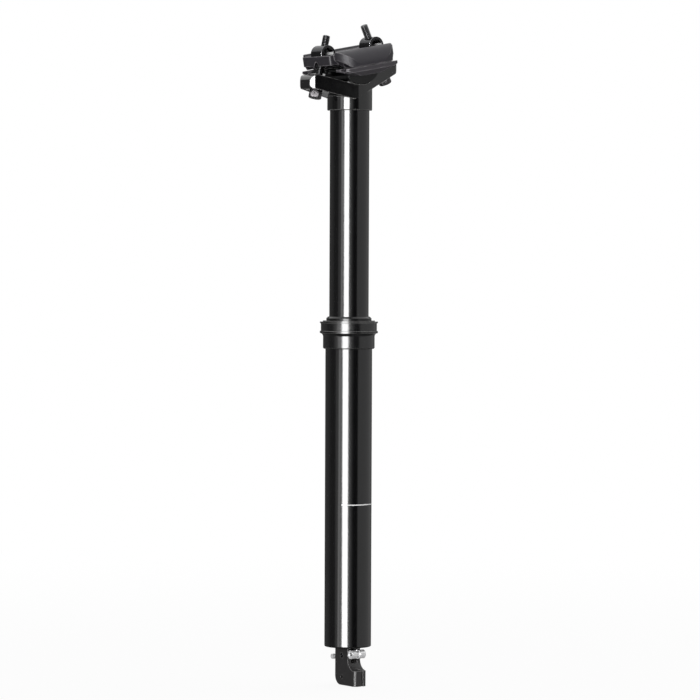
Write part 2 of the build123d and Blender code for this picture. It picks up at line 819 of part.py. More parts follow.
def wing_section():
    """The upper clamp's section across the rails: deck between two round-shouldered wings."""
    half = clamp_width / 2
    root = wing_root / 2
    recess = deck_recess_width / 2
    shoulder = half - wing_round
    slope = wing_round * (1 - sqrt(0.5))
    right = ThreePointArc(
        (0, half, wing_height - wing_round),
        (0, half - slope, wing_height - slope),
        (0, shoulder, wing_height),
    )
    left = ThreePointArc(
        (0, -shoulder, wing_height),
        (0, -half + slope, wing_height - slope),
        (0, -half, wing_height - wing_round),
    )
    deck = Polyline(
        (0, shoulder, wing_height),
        (0, root, deck_height),
        (0, -root, deck_height),
        (0, -shoulder, wing_height),
    )
    under = Polyline(
        (0, -half, wing_height - wing_round),
        (0, -half, clamp_split),
        (0, -recess, clamp_split),
        (0, -recess, deck_underside),
        (0, recess, deck_underside),
        (0, recess, clamp_split),
        (0, half, clamp_split),
        (0, half, wing_height - wing_round),
    )
    return make_face(Wire([right, *deck.edges(), left, *under.edges()]))


def make_upper_clamp():
    plan = RectangleRounded(clamp_length, clamp_width, clamp_corner_round)
    body = extrude(wing_section(), amount=clamp_length / 2, dir=(1, 0, 0), both=True)
    body &= extrude(plan, amount=wing_height)
    for side, length, height in (
        (1, front_lead_length, front_lead_height),
        (-1, rear_lead_length, rear_lead_height),
    ):
        end = Pos(side * clamp_length / 2, 0, clamp_split)
        lead = Polyline((0, 0), (-side * length, 0), (0, height), close=True)
        body -= end * extrude(UPRIGHT * make_face(lead), amount=clamp_width, both=True)
    nose = Pos(0, 0, deck_underside) * extrude(
        RectangleRounded(nose_length, nose_width, nose_round), amount=deck_height - deck_underside
    )
    body += nose
    for side in (1, -1):
        body -= Pos(0, side * rail_spacing / 2, 0) * crossbar(rail_diameter / 2, clamp_length + overrun, "X")
        pocket = crossbar(nut_diameter / 2 + running_gap, nut_length + soft_gap)
        body -= Pos(side * bolt_reach, 0, nut_lift) * pocket
        slot = SlotOverall(nose_slot_length, nose_slot_width)
        facing = Rot(0, 0, 0) if side > 0 else Rot(0, 0, 180)
        leaning = Pos(side * bolt_reach, 0, nut_lift) * facing * Rot(0, -bolt_lean(side), 0)
        body -= leaning * extrude(slot, amount=-nut_lift)
    return clamp_frame * body


def make_bolt(side):
    seat = -bolt_grip(side)
    foot = seat - bolt_head_height
    body = rod(bolt_diameter / 2, seat, seat + bolt_length)
    tip = body.faces().sort_by(Axis.Z)[-1].edges()
    body = chamfer(tip, bolt_point)
    head = rod(bolt_head_diameter / 2, foot, seat)
    head = chamfer(head.faces().sort_by(Axis.Z)[0].edges(), bolt_point)
    body += head
    body -= hex_bar(bolt_socket_flats, foot - overrun, foot + bolt_socket_depth)
    return bolt_place(side) * body


def make_bolt_washer(side):
    drum = crossbar(washer_radius, washer_length)
    upper_half = Box(washer_radius * 2, washer_length, washer_radius, align=CENTRED_LOW)
    body = (drum & upper_half) - rod(bolt_diameter / 2, -overrun, washer_radius + overrun)
    return bolt_place(side) * Pos(0, 0, -bolt_grip(side)) * body


def make_barrel_nut(side):
    body = crossbar(nut_diameter / 2, nut_length) - crossbar(nut_bore / 2, nut_length + overrun)
    body -= rod(bolt_diameter / 2 + nut_bolt_gap, -nut_diameter, nut_diameter)
    return bolt_place(side) * body


def node(name, solids):
    """Write one named sub-part to its own file."""
    shape = Compound(children=solids) if isinstance(solids, list) else solids
    shape.label = name
    export_step(shape, f"parts/{name}.step")


def main():
    os.makedirs("parts", exist_ok=True)
    nodes = {
        "outer_tube": make_outer_tube(),
        "seal_collar": make_seal_collar(),
        "wiper_seal": make_wiper_seal(),
        "inner_seal": make_inner_seal(),
        "upper_bushing": make_upper_bushing(),
        "top_out_bumper": make_top_out_bumper(),
        "bottom_cap": make_bottom_cap(),
        "cap_o_ring": make_cap_o_ring(),
        "cartridge_body": make_cartridge_body(),
        "cartridge_gland": make_cartridge_gland(),
        "cartridge_base": make_cartridge_base(),
        "cartridge_lock_nut": make_cartridge_lock_nut(),
        "cable_stop_hook": make_cable_stop_hook(),
        "bracket_screws": make_bracket_screws(),
        "lever_pivot_pin": make_lever_pivot_pin(),
        "release_lever": make_release_lever(),
        "cable_anchor": make_cable_anchor(),
        "anchor_screw": make_anchor_screw(),
        "valve_pin": make_valve_pin(),
        "stanchion_tube": make_stanchion_tube(),
        "guide_keys": make_guide_keys(),
        "lower_guide_ring": make_lower_guide_ring(),
        "rod_plug": make_rod_plug(),
        "rod_nut": make_rod_nut(),
        "piston_rod": make_piston_rod(),
        "piston": make_piston(),
        "piston_seal": make_piston_seal(),
        "seat_head": make_seat_head(),
        "lower_cradle": make_lower_cradle(),
        "upper_clamp": make_upper_clamp(),
    }
    for name, side in (("front", 1), ("rear", -1)):
        nodes[f"{name}_bolt"] = make_bolt(side)
        nodes[f"{name}_bolt_washer"] = make_bolt_washer(side)
        nodes[f"{name}_barrel_nut"] = make_barrel_nut(side)
    for name, solids in nodes.items():
        node(name, solids)


main()
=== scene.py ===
"""Studio view of a dropper seatpost.

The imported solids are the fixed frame. This script gives each of them its finish, replaces the
two clamp screws by fully threaded ones, adds the line on the outer tube, and sets the camera, the
light and the floor. Lengths are in metres and colours are linear.
"""

import logging
import math
from collections.abc import Iterable
from dataclasses import dataclass
from enum import Enum

import bmesh
import bpy
import numpy as np
from mathutils import Matrix, Vector

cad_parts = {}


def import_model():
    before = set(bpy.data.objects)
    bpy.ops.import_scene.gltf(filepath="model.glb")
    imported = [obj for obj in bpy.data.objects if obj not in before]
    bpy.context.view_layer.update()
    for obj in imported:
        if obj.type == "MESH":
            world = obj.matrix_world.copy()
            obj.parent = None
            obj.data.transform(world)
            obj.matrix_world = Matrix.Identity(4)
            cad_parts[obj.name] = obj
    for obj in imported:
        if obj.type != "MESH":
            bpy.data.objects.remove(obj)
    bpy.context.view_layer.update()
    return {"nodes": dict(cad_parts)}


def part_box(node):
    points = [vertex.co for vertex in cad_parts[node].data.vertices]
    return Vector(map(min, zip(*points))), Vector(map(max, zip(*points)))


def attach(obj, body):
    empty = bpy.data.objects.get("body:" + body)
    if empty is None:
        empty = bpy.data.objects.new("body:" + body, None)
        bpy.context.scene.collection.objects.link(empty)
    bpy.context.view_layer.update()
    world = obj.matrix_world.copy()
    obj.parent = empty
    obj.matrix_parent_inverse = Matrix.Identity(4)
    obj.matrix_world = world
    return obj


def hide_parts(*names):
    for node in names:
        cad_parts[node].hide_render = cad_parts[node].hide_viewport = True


LOG = logging.getLogger("seatpost")
MM = 0.001
PICTURE_SIDE = 700
MERGE_GAP = 1e-7
SLIVER_EDGE = 1e-8
CRISP_ANGLE = math.radians(32.0)
NOISE_SPREAD = (0.3, 0.7)
EDGE_SAMPLES = 6
WHITE = (1.0, 1.0, 1.0)
Pair = tuple[float, float]
Triple = tuple[float, float, float]
Source = bpy.types.NodeSocket | float | Triple
Grid = tuple[np.ndarray, np.ndarray]


class Slot(Enum):
    """Two names of material slots, which nothing in the script uses."""

    ANODISED = "anodised"
    BLACK_STEEL = "black_steel"


class Side(Enum):
    """The two ends of the seat head, with the sign of their local X."""

    FRONT = 1
    REAR = -1


class Mixed(Enum):
    """What a mix node mixes."""

    NUMBERS = "FLOAT"
    COLOURS = "RGBA"


class NodeGraph:
    """The nodes of a material or of the world, with short calls for the ones that they share."""

    def __init__(self, owner: bpy.types.Material | bpy.types.World) -> None:
        """Start with no nodes.

        Args:
            owner: The material or world that the nodes belong to.
        """
        owner.use_nodes = True
        self.owner = owner
        self.tree = owner.node_tree
        self.tree.nodes.clear()

    def add(self, kind: str, **values: object) -> bpy.types.Node:
        """Add a node.

        Args:
            kind: The node's type name.
            values: Attributes to set on it.

        Returns:
            The new node.
        """
        node = self.tree.nodes.new(kind)
        for key, value in values.items():
            setattr(node, key, value)
        return node

    def feed(self, source: Source, target: bpy.types.NodeSocket) -> None:
        """Give an input socket its value.

        Args:
            source: An output socket to join it to, or a number, place or colour to set on it.
            target: The input socket.
        """
        if isinstance(source, bpy.types.NodeSocket):
            self.tree.links.new(source, target)
        else:
            target.default_value = (*source, 1.0) if target.type == "RGBA" else source

    def work_out(self, operation: str, *values: Source) -> bpy.types.NodeSocket:
        """Work out one sum on numbers.

        Args:
            operation: The sum's type name.
            values: The numbers, or the sockets that give them.

        Returns:
            The result.
        """
        node = self.add("ShaderNodeMath", operation=operation)
        for value, target in zip(values, node.inputs):
            self.feed(value, target)
        return node.outputs["Value"]

    def span(
        self,
        source: bpy.types.NodeSocket,
        reach: Pair,
        to: Pair = (0.0, 1.0),
        kind: str = "LINEAR",
    ) -> bpy.types.NodeSocket:
        """Carry a value from one range to another and hold it there.

        Args:
            source: The value.
            reach: The start and end of its range.
            to: What they become.
            kind: How the value runs between the two.

        Returns:
            The new value.
        """
        node = self.add("ShaderNodeMapRange", clamp=True, interpolation_type=kind)
        names = ("Value", "From Min", "From Max", "To Min", "To Max")
        for name, value in zip(names, (source, *reach, *to)):
            self.feed(value, node.inputs[name])
        return node.outputs["Result"]

    def blend(
        self, mixed: Mixed, amount: bpy.types.NodeSocket, first: Source, second: Source
    ) -> bpy.types.NodeSocket:
        """Mix two numbers or two colours by a value.

        Args:
            mixed: Whether they are numbers or colours.
            amount: 0 for the first, 1 for the second.
            first: The first one, or the socket that gives it.
            second: The second one, or the socket that gives it.

        Returns:
            The mixture.
        """
        node = self.add("ShaderNodeMix", data_type=mixed.value)
        for name, value in (("Factor", amount), ("A", first), ("B", second)):
            self.feed(value, node.inputs[name])
        return node.outputs["Result"]

    def light(self, kind: str, output: str, level: float) -> bpy.types.NodeSocket:
        """A plain white light.

        Args:
            kind: The node's type name.
            output: Its output's name.
            level: How bright it is, where 1 is white.

        Returns:
            The light's shader.
        """
        node = self.add(kind)
        self.feed(WHITE, node.inputs["Color"])
        self.feed(level, node.inputs["Strength"])
        return node.outputs[output]

    def glow(self, level: float) -> bpy.types.NodeSocket:
        """A plain white glow of some level, where 1 is white."""
        return self.light("ShaderNodeEmission", "Emission", level)

    def backdrop(self, level: float) -> bpy.types.NodeSocket:
        """A plain white background of some level, where 1 is white."""
        return self.light("ShaderNodeBackground", "Background", level)

    def mix_shaders(self, *sources: bpy.types.NodeSocket) -> bpy.types.NodeSocket:
        """Mix two shaders.

        Args:
            sources: The share of the second one, then the two shaders.

        Returns:
            The mixture.
        """
        node = self.add("ShaderNodeMixShader")
        for source, target in zip(sources, node.inputs):
            self.feed(source, target)
        return node.outputs["Shader"]

    def seen_directly(self) -> bpy.types.NodeSocket:
        """A value that is 1 for camera, glossy and transmission rays.

        Returns:
            The value.
        """
        rays = self.add("ShaderNodeLightPath").outputs
        seen = self.work_out("MAXIMUM", rays["Is Camera Ray"], rays["Is Glossy Ray"])
        return self.work_out("MAXIMUM", seen, rays["Is Transmission Ray"])

    def show(self, shader: bpy.types.NodeSocket) -> None:
        """Make a shader what the material or the world shows.

        Args:
            shader: The shader.
        """
        world = isinstance(self.owner, bpy.types.World)
        output = self.add("ShaderNodeOutputWorld" if world else "ShaderNodeOutputMaterial")
        self.feed(shader, output.inputs["Surface"])


class FinishGraph(NodeGraph):
    """The nodes of one procedural finish on a Principled shader."""

    def __init__(self, name: str) -> None:
        """Start an empty finish.

        Args:
            name: The material's name.
        """
        super().__init__(bpy.data.materials.new(name))
        self.shader = self.add("ShaderNodeBsdfPrincipled")
        self.show(self.shader.outputs["BSDF"])

    def paint(self, **sources: Source) -> bpy.types.Material:
        """Give the shader's own sockets their values.

        Args:
            sources: The values by socket; underscores in the names stand for spaces.

        Returns:
            The finished material.
        """
        for key, source in sources.items():
            self.feed(source, self.shader.inputs[key.replace("_", " ")])
        return self.owner

    def place(self, stretch: Triple = (1.0, 1.0, 1.0)) -> bpy.types.NodeSocket:
        """Object coordinates, each multiplied by its own part of the stretch.

        Args:
            stretch: What each coordinate is multiplied by.

        Returns:
            The stretched coordinates.
        """
        mapping = self.add("ShaderNodeMapping")
        self.feed(self.add("ShaderNodeTexCoord").outputs["Object"], mapping.inputs["Vector"])
        self.feed(stretch, mapping.inputs["Scale"])
        return mapping.outputs["Vector"]

    def noise(
        self, grain: float, stretch: Triple = (1.0, 1.0, 1.0), detail: float = 3.0
    ) -> bpy.types.NodeSocket:
        """Smooth noise of one grain size.

        Args:
            grain: The size of a grain, in metres.
            stretch: What each coordinate is multiplied by first.
            detail: How many finer layers it has.

        Returns:
            The noise's value, about 0.5 on average.
        """
        node = self.add("ShaderNodeTexNoise")
        self.feed(1.0 / grain, node.inputs["Scale"])
        self.feed(detail, node.inputs["Detail"])
        self.feed(self.place(stretch), node.inputs["Vector"])
        return node.outputs["Fac"]

    def soft_edges(self, radius: float) -> tuple[bpy.types.NodeSocket, bpy.types.NodeSocket]:
        """Round the shading of sharp edges, and find them.

        The edge value is one minus the cosine between the rounded and the true normal.

        Args:
            radius: The rounding's radius, in metres.

        Returns:
            The rounded normal, and a value that is 0 on faces and rises at edges.
        """
        bevel = self.add("ShaderNodeBevel", samples=EDGE_SAMPLES)
        self.feed(radius, bevel.inputs["Radius"])
        true = self.add("ShaderNodeNewGeometry").outputs["Normal"]
        cosine = self.add("ShaderNodeVectorMath", operation="DOT_PRODUCT")
        self.feed(bevel.outputs["Normal"], cosine.inputs[0])
        self.feed(true, cosine.inputs[1])
        return bevel.outputs["Normal"], self.work_out("SUBTRACT", 1.0, cosine.outputs["Value"])

    def bump(
        self,
        height: bpy.types.NodeSocket,
        depth: float,
        normal: bpy.types.NodeSocket | None = None,
    ) -> bpy.types.NodeSocket:
        """Turn a height into a normal.

        Args:
            height: The height's value from 0 to 1.
            depth: How deep 1 is, in metres.
            normal: The normal that it starts from.

        Returns:
            The new normal.
        """
        node = self.add("ShaderNodeBump")
        self.feed(depth, node.inputs["Distance"])
        self.feed(1.0, node.inputs["Strength"])
        self.feed(height, node.inputs["Height"])
        if normal is not None:
            self.feed(normal, node.inputs["Normal"])
        return node.outputs["Normal"]


@dataclass(frozen=True)
class AnodisedFinish:
    """Polished black anodised tube: a deep black with fine drawing lines along the tube."""

    name: str = "anodised_tube"
    colour: Triple = (0.0035, 0.0035, 0.0038)
    paler: float = 1.35
    roughness: Pair = (0.13, 0.17)
    line: float = 0.25 * MM
    line_stretch: Triple = (1.0, 1.0, 0.02)
    line_depth: float = 0.4e-6
    cloud: float = 9.0 * MM
    cloud_spread: Pair = (0.35, 0.7)
    edge_radius: float = 0.15 * MM
    index: float = 1.8

    def build(self) -> bpy.types.Material:
        """Build the finish.

        Returns:
            Its material.
        """
        graph = FinishGraph(self.name)
        lines = graph.noise(self.line, self.line_stretch)
        cloud = graph.span(graph.noise(self.cloud), self.cloud_spread)
        pale = tuple(self.paler * c for c in self.colour)
        rounded, _ = graph.soft_edges(self.edge_radius)
        return graph.paint(
            IOR=self.index,
            Base_Color=graph.blend(Mixed.COLOURS, cloud, self.colour, pale),
            Roughness=graph.span(lines, NOISE_SPREAD, self.roughness),
            Normal=graph.bump(lines, self.line_depth, rounded),
        )


@dataclass(frozen=True)
class TurnedFinish:
    """Lathe-turned and anodised black: hair-fine rings round the post's axis, and pale edges that
    are partly worn and partly painted highlights on the rims.
    """

    name: str = "anodised_turned"
    colour: Triple = (0.006, 0.006, 0.0065)
    wear_and_highlight: Triple = (0.2, 0.195, 0.19)
    roughness: Pair = (0.16, 0.24)
    ring_pitch: float = 0.12 * MM
    ring_stretch: Triple = (0.01, 0.01, 1.0)
    ring_detail: float = 1.0
    ring_depth: float = 0.6e-6
    edge_radius: float = 0.35 * MM
    edge_spread: Pair = (0.015, 0.15)
    index: float = 1.8

    def build(self) -> bpy.types.Material:
        """Build the finish.

        Returns:
            Its material.
        """
        graph = FinishGraph(self.name)
        rings = graph.noise(self.ring_pitch, self.ring_stretch, self.ring_detail)
        rounded, edge = graph.soft_edges(self.edge_radius)
        # Paler edges: partly worn, partly painted highlights on the rims.
        edge_paling = graph.span(edge, self.edge_spread)
        return graph.paint(
            IOR=self.index,
            Base_Color=graph.blend(Mixed.COLOURS, edge_paling, self.colour, self.wear_and_highlight),
            Roughness=graph.span(rings, NOISE_SPREAD, self.roughness),
            Normal=graph.bump(rings, self.ring_depth, rounded),
        )


@dataclass(frozen=True)
class ForgedFinish:
    """Black anodised forging: a fine grain under the gloss, paler at its edges, partly worn and
    partly painted edge highlights.

    Within the painted shade half width of the part's middle plane it has a darker colour, painted
    shade over the drum, and the polished roughness instead, where that width isn't 0.
    """

    name: str = "forged_black"
    colour: Triple = (0.0035, 0.0035, 0.0038)
    wear_and_highlight: Triple = (0.40, 0.39, 0.38)
    roughness: Pair = (0.09, 0.13)
    grain: float = 0.22 * MM
    grain_detail: float = 4.0
    grain_depth: float = 0.7e-6
    cloud: float = 6.0 * MM
    cloud_detail: float = 2.0
    cloud_spread: Pair = (0.38, 0.66)
    cloud_edge_range: Pair = (0.45, 1.0)
    edge_radius: float = 0.6 * MM
    edge_spread: Pair = (0.015, 0.13)
    index: float = 1.85
    painted_shade_half: float = 0.0
    painted_shade_edge: float = 0.2 * MM
    painted_shade_colour: Triple = (0.0035, 0.0035, 0.0038)
    polished_roughness: float = 0.2

    def beside_middle(self, graph: FinishGraph) -> bpy.types.NodeSocket:
        """Where a point lies beside the middle that is darkened as painted shade and polished.

        Args:
            graph: The finish's nodes.

        Returns:
            A value that is 0 in the darkened, polished middle and 1 outside.
        """
        axes = graph.add("ShaderNodeSeparateXYZ")
        graph.feed(graph.place(), axes.inputs["Vector"])
        across = graph.work_out("ABSOLUTE", axes.outputs["Y"])
        return graph.span(across, (self.painted_shade_half, self.painted_shade_half + self.painted_shade_edge))

    def build(self) -> bpy.types.Material:
        """Build the finish.

        Returns:
            Its material.
        """
        graph = FinishGraph(self.name)
        grain = graph.noise(self.grain, detail=self.grain_detail)
        cloud = graph.noise(self.cloud, detail=self.cloud_detail)
        rounded, edge = graph.soft_edges(self.edge_radius)
        # Paler edges in random patches: partly worn, partly painted edge highlights.
        edge_paling = graph.work_out(
            "MULTIPLY",
            graph.span(edge, self.edge_spread),
            graph.span(cloud, self.cloud_spread, self.cloud_edge_range),
        )
        colour = graph.blend(Mixed.COLOURS, edge_paling, self.colour, self.wear_and_highlight)
        roughness = graph.span(cloud, NOISE_SPREAD, self.roughness)
        # In the middle the colour darkens, painted shade over the drum, and the roughness is
        # polished.
        if self.painted_shade_half:
            beside = self.beside_middle(graph)
            colour = graph.blend(Mixed.COLOURS, beside, self.painted_shade_colour, colour)
            roughness = graph.blend(Mixed.NUMBERS, beside, self.polished_roughness, roughness)
        normal = graph.bump(grain, self.grain_depth, rounded)
        return graph.paint(
            IOR=self.index, Base_Color=colour, Roughness=roughness, Normal=normal
        )


@dataclass(frozen=True)
class MetalFinish:
    """Bare or oxide-black metal with tool marks along one direction, paler at its edges."""

    name: str
    colour: Triple
    roughness: Pair
    mark_stretch: Triple = (1.0, 1.0, 1.0)
    mark: float = 0.2 * MM
    mark_depth: float = 1.5e-6
    edge_radius: float = 0.15 * MM
    edge_spread: Pair = (0.02, 0.3)
    edge_lift: float = 1.5
    metallic: float = 1.0

    def build(self) -> bpy.types.Material:
        """Build the finish.

        Returns:
            Its material.
        """
        graph = FinishGraph(self.name)
        marks = graph.noise(self.mark, self.mark_stretch)
        rounded, edge = graph.soft_edges(self.edge_radius)
        edge_paling = graph.span(edge, self.edge_spread)
        lifted = tuple(min(1.0, self.edge_lift * c) for c in self.colour)
        return graph.paint(
            Metallic=self.metallic,
            Base_Color=graph.blend(Mixed.COLOURS, edge_paling, self.colour, lifted),
            Roughness=graph.span(marks, NOISE_SPREAD, self.roughness),
            Normal=graph.bump(marks, self.mark_depth, rounded),
        )


@dataclass(frozen=True)
class BarrelNutFinish:
    """Blackened barrel nuts whose bores are bare low down, where the screws' threads rub them.

    A point is in a bore where it lies nearer than the bore's radius to a nut's centre line, which
    runs level from side to side through its centre, and it has the painted reflection where it also
    lies nearer than the reflection radius to the same line moved by the reflection shift.
    """

    centres: tuple[Pair, Pair]
    name: str = "barrel_nut"
    outside: Triple = (0.07, 0.07, 0.073)
    wear_and_highlight: Triple = (0.63, 0.63, 0.657)
    # White of the painted reflection low in each bore.
    painted_reflection: Triple = (0.95, 0.95, 0.95)
    roughness: Pair = (0.16, 0.26)
    mark: float = 0.2 * MM
    mark_stretch: Triple = (1.0, 0.2, 1.0)
    mark_depth: float = 1.5e-6
    bore_radius: float = 4.0 * MM
    reflection_radius: float = 2.4 * MM
    reflection_shift: Pair = (-2.8 * MM, -0.8 * MM)
    mask_edge: float = 0.15 * MM
    edge_radius: float = 0.4 * MM
    edge_spread: Pair = (0.03, 0.3)

    def near_line(self, graph: FinishGraph, shift: Pair, radius: float) -> bpy.types.NodeSocket:
        """Where a point lies near either nut's centre line.

        Args:
            graph: The finish's nodes.
            shift: How far the lines are moved on X and Z, in metres.
            radius: How near is near, in metres.

        Returns:
            A value that is 1 near a line and 0 away from both.
        """
        across_lines = graph.place((1.0, 0.0, 1.0))
        reaches = []
        for x, z in self.centres:
            reach = graph.add("ShaderNodeVectorMath", operation="DISTANCE")
            graph.feed(across_lines, reach.inputs[0])
            graph.feed((x + shift[0], 0.0, z + shift[1]), reach.inputs[1])
            reaches.append(reach.outputs["Value"])
        nearest = graph.work_out("MINIMUM", *reaches)
        return graph.span(nearest, (radius, radius + self.mask_edge), (1.0, 0.0))

    def build(self) -> bpy.types.Material:
        """Build the finish.

        Returns:
            Its material.
        """
        graph = FinishGraph(self.name)
        marks = graph.noise(self.mark, self.mark_stretch)
        rounded, edge = graph.soft_edges(self.edge_radius)
        edge_paling = graph.span(edge, self.edge_spread)
        # Paler edges: partly worn, partly painted edge highlights.
        skin = graph.blend(Mixed.COLOURS, edge_paling, self.outside, self.wear_and_highlight)
        # Painted reflection: white and not metallic where both masks meet, low in each bore.
        painted_reflection = graph.work_out(
            "MULTIPLY",
            self.near_line(graph, (0.0, 0.0), self.bore_radius),
            self.near_line(graph, self.reflection_shift, self.reflection_radius),
        )
        return graph.paint(
            Metallic=graph.work_out("SUBTRACT", 1.0, painted_reflection),
            Base_Color=graph.blend(Mixed.COLOURS, painted_reflection, skin, self.painted_reflection),
            Roughness=graph.span(marks, NOISE_SPREAD, self.roughness),
            Normal=graph.bump(marks, self.mark_depth, rounded),
        )


@dataclass(frozen=True)
class MouldedFinish:
    """Moulded rubber, filled plastic or ink: a fine pebble, with paler clouds of dust."""

    name: str
    colour: Triple
    roughness: Pair
    pebble: float = 0.12 * MM
    pebble_depth: float = 3e-6
    dust: float = 2.5 * MM
    dust_spread: Pair = (0.4, 0.75)
    paler: float = 1.6

    def build(self) -> bpy.types.Material:
        """Build the finish.

        Returns:
            Its material.
        """
        graph = FinishGraph(self.name)
        pebble = graph.noise(self.pebble)
        dust = graph.span(graph.noise(self.dust), self.dust_spread)
        pale = tuple(self.paler * c for c in self.colour)
        return graph.paint(
            Base_Color=graph.blend(Mixed.COLOURS, dust, self.colour, pale),
            Roughness=graph.span(pebble, NOISE_SPREAD, self.roughness),
            Normal=graph.bump(pebble, self.pebble_depth),
        )


def put_in_scene(name: str, data: bpy.types.ID) -> bpy.types.Object:
    """Make an object and link it to the scene.

    Args:
        name: The object's name.
        data: Its mesh, camera or lamp.

    Returns:
        The object.
    """
    made = bpy.data.objects.new(name, data)
    bpy.context.scene.collection.objects.link(made)
    return made


def round_points(turn: np.ndarray, radius: np.ndarray, height: np.ndarray) -> np.ndarray:
    """Points about Z, as rows of (radius cos turn, radius sin turn, height).

    Args:
        turn: The angles, in radians.
        radius: The distances from the axis.
        height: The heights.

    Returns:
        The points, with the three arrays broadcast together.
    """
    axes = np.broadcast_arrays(radius * np.cos(turn), radius * np.sin(turn), height)
    return np.stack(axes, axis=-1).reshape(-1, 3)


def ring_faces(bands: int, columns: int, climb: int = 0) -> np.ndarray:
    """The faces that join each ring of a grid to the next.

    A face has its corners at its own column and the one after it, on its own ring and the next.
    The last column joins the first one, which is some rings further up where the grid climbs.

    Args:
        bands: How many bands of faces there are.
        columns: How many points a ring has.
        climb: How many rings the grid climbs in one turn.

    Returns:
        The faces, as rows of point numbers.
    """
    row, column = np.meshgrid(np.arange(bands), np.arange(columns), indexing="ij")
    after = (column + 1) % columns
    there = row + climb * (column == columns - 1)
    corners = ((row, column), (there, after), (there + 1, after), (row + 1, column))
    return np.stack([r * columns + c for r, c in corners], axis=-1).reshape(-1, 4)


def mesh_piece(name: str, surface: Grid, place: Matrix) -> bpy.types.Object:
    """Make an object of a surface, merged, facing outwards, with its place in its mesh.

    Args:
        name: The piece's name.
        surface: Its points in its own frame, and its faces.
        place: Its own frame in the part's frame.

    Returns:
        The new object, at the origin.
    """
    points, faces = surface
    mesh = bpy.data.meshes.new(name)
    mesh.from_pydata(points.tolist(), [], faces.tolist())
    work = bmesh.new()
    work.from_mesh(mesh)
    bmesh.ops.remove_doubles(work, verts=work.verts, dist=MERGE_GAP)
    bmesh.ops.dissolve_degenerate(work, edges=work.edges, dist=SLIVER_EDGE)
    bmesh.ops.recalc_face_normals(work, faces=work.faces)
    work.to_mesh(mesh)
    work.free()
    mesh.transform(place)
    mesh.polygons.foreach_set("use_smooth", np.ones(len(mesh.polygons), bool))
    mesh.set_sharp_from_angle(angle=CRISP_ANGLE)
    mesh.update()
    return put_in_scene(name, mesh)


@dataclass(frozen=True)
class ClampScrew:
    """Where one clamp screw stands: its end, its lean in degrees, and its seat below the nut."""

    side: Side
    lean: float
    grip: float


